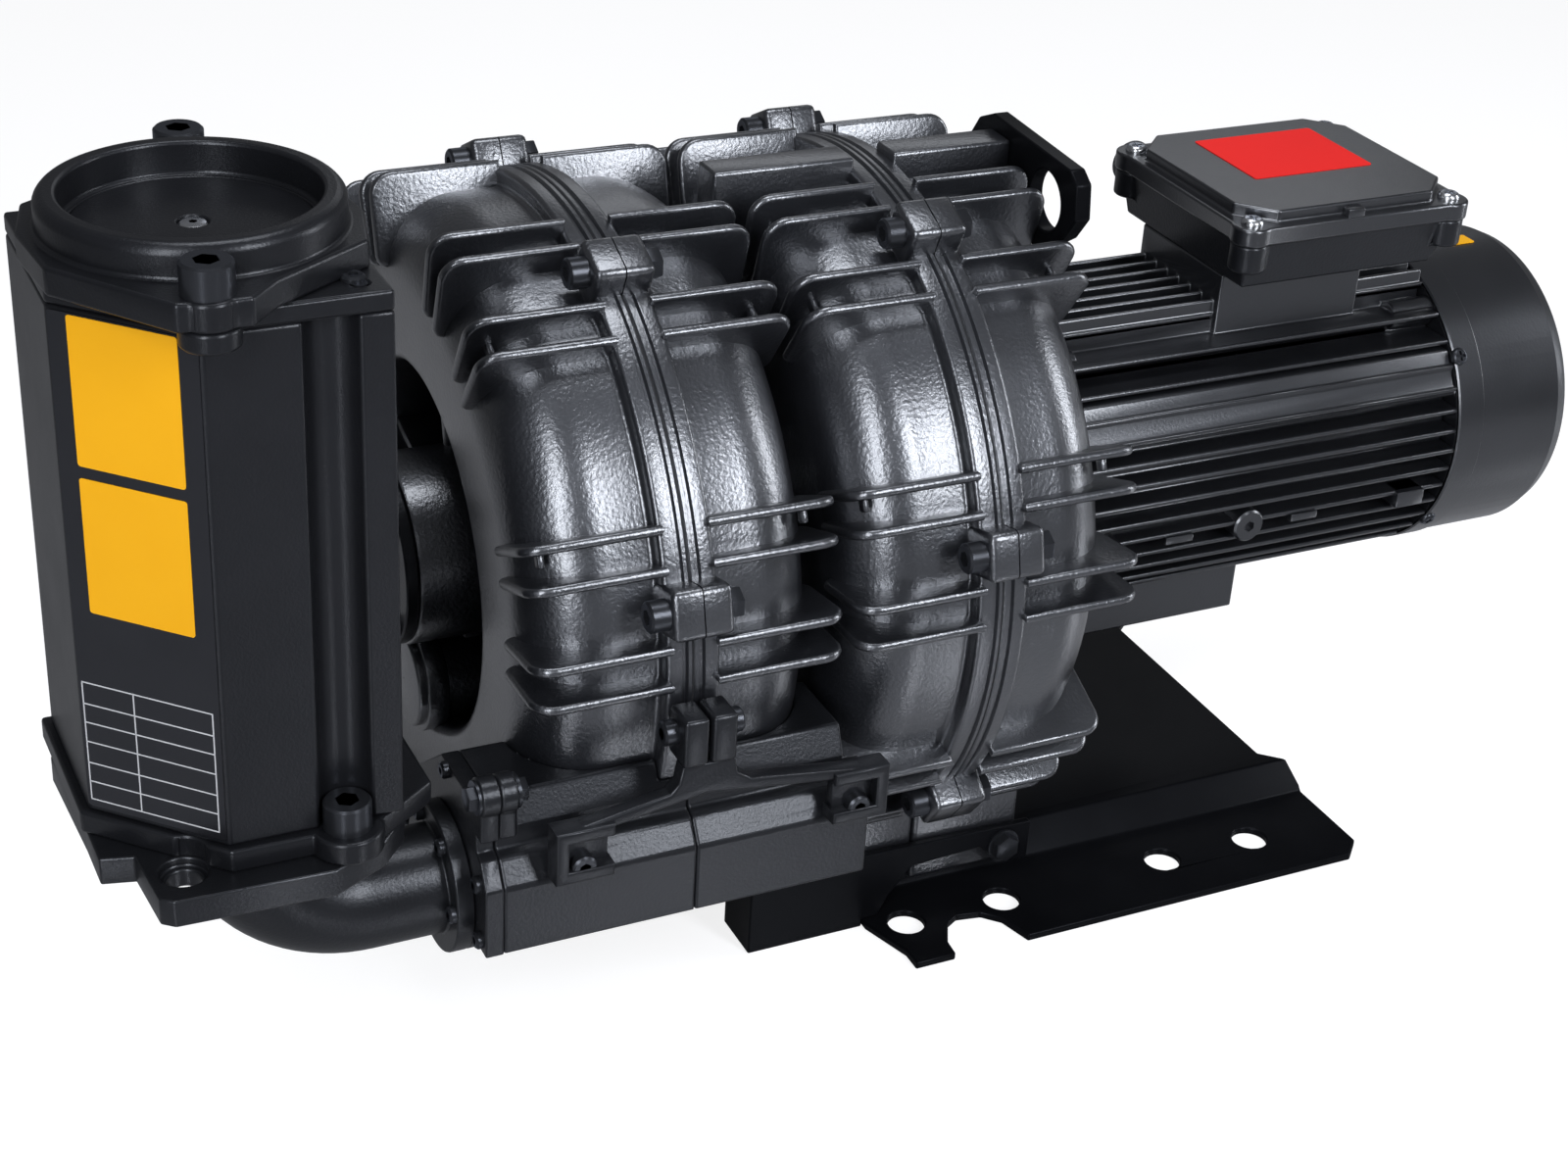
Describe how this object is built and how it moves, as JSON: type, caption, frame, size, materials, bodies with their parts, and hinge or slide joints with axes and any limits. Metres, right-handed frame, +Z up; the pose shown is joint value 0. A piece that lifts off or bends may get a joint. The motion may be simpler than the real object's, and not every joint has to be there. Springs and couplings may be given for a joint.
{
  "type": "two-stage side channel gas blower",
  "caption": "Side channel blower for biogas with two ribbed ring stages, a flanged fan-cooled motor, an upright inlet silencer, a terminal box and a bolted base.",
  "frame": {"origin": "on the ground under the shaft, in the middle of the four outer foot holes", "axes": "+X along the shaft from the silencer to the motor fan, +Z up, the inlet side is -Y"},
  "size_m": [0.785, 0.3827, 0.422],
  "materials": {
    "cast_black": "satin black paint over fine cast texture",
    "silencer_black": "satin black powder coat",
    "sheet_black": "smooth satin black paint",
    "dark_steel": "black oxide",
    "bright_steel": "ground bright",
    "cast_aluminium": "machined cast aluminium",
    "core_steel": "stacked sheet edges",
    "winding_copper": "varnished copper wire",
    "black_rubber": "matt",
    "moulded_plastic": "matt moulded",
    "foam": "open foam"
  },
  "bodies": {
    "housing": {"band_bolts": "dark_steel", "band_gaskets": "black_rubber", "base_plate": "sheet_black", "bearing_cover": "cast_black", "bearing_cover_screws": "dark_steel", "cable_gland": "moulded_plastic", "cover_screws": "dark_steel", "cowl_screws": "dark_steel", "drive_end_bearing_outer": "bright_steel", "drive_endshield": "cast_black", "endshield_screws": "dark_steel", "fan_cowl": "sheet_black", "front_support_bracket": "sheet_black", "hex_bolts": "dark_steel", "inlet_elbow": "cast_black", "inlet_end_cover": "cast_black", "inlet_port_box_left": "cast_black", "inlet_port_box_right": "cast_black", "inlet_port_disc": "sheet_black", "inlet_yoke": "cast_black", "interstage_duct": "cast_black", "lifting_lug": "sheet_black", "motor_housing": "cast_black", "outboard_bearing_outer": "bright_steel", "outlet_end_cover": "cast_black", "outlet_port_box": "cast_black", "port_disc_screw": "dark_steel", "rear_bearing_outer": "bright_steel", "rear_endshield": "cast_black", "rear_support_bracket": "sheet_black", "shaft_seals": "black_rubber", "silencer_bottom_plate": "silencer_black", "silencer_core_tube": "bright_steel", "silencer_flange_screws": "dark_steel", "silencer_head": "silencer_black", "silencer_liner": "foam", "silencer_shell": "silencer_black", "silencer_tie_rods": "dark_steel", "silencer_top_plate": "silencer_black", "sleeve_bolts": "dark_steel", "stage_1_inner_housing": "cast_black", "stage_1_outer_housing": "cast_black", "stage_2_inner_housing": "cast_black", "stage_2_motor_housing": "cast_black", "stator_core": "core_steel", "stator_windings": "winding_copper", "terminal_block": "moulded_plastic", "terminal_box_base": "cast_black", "terminal_box_lid": "cast_black", "terminal_lid_screws": "bright_steel", "yoke_bolts": "dark_steel"},
    "rotor": {"shaft": "bright_steel", "impeller_1": "cast_aluminium", "impeller_2": "cast_aluminium", "shaft_spacers": "bright_steel", "outboard_bearing_inner": "bright_steel", "drive_end_bearing_inner": "bright_steel", "rear_bearing_inner": "bright_steel", "rotor_core": "core_steel", "cooling_fan": "moulded_plastic"}
  },
  "joints": [
    {"name": "rotor_spin", "type": "hinge", "parent": "housing", "child": "rotor", "pos_m": [0, 0, 0.188], "axis": [1, 0, 0], "continuous": true}
  ]
}
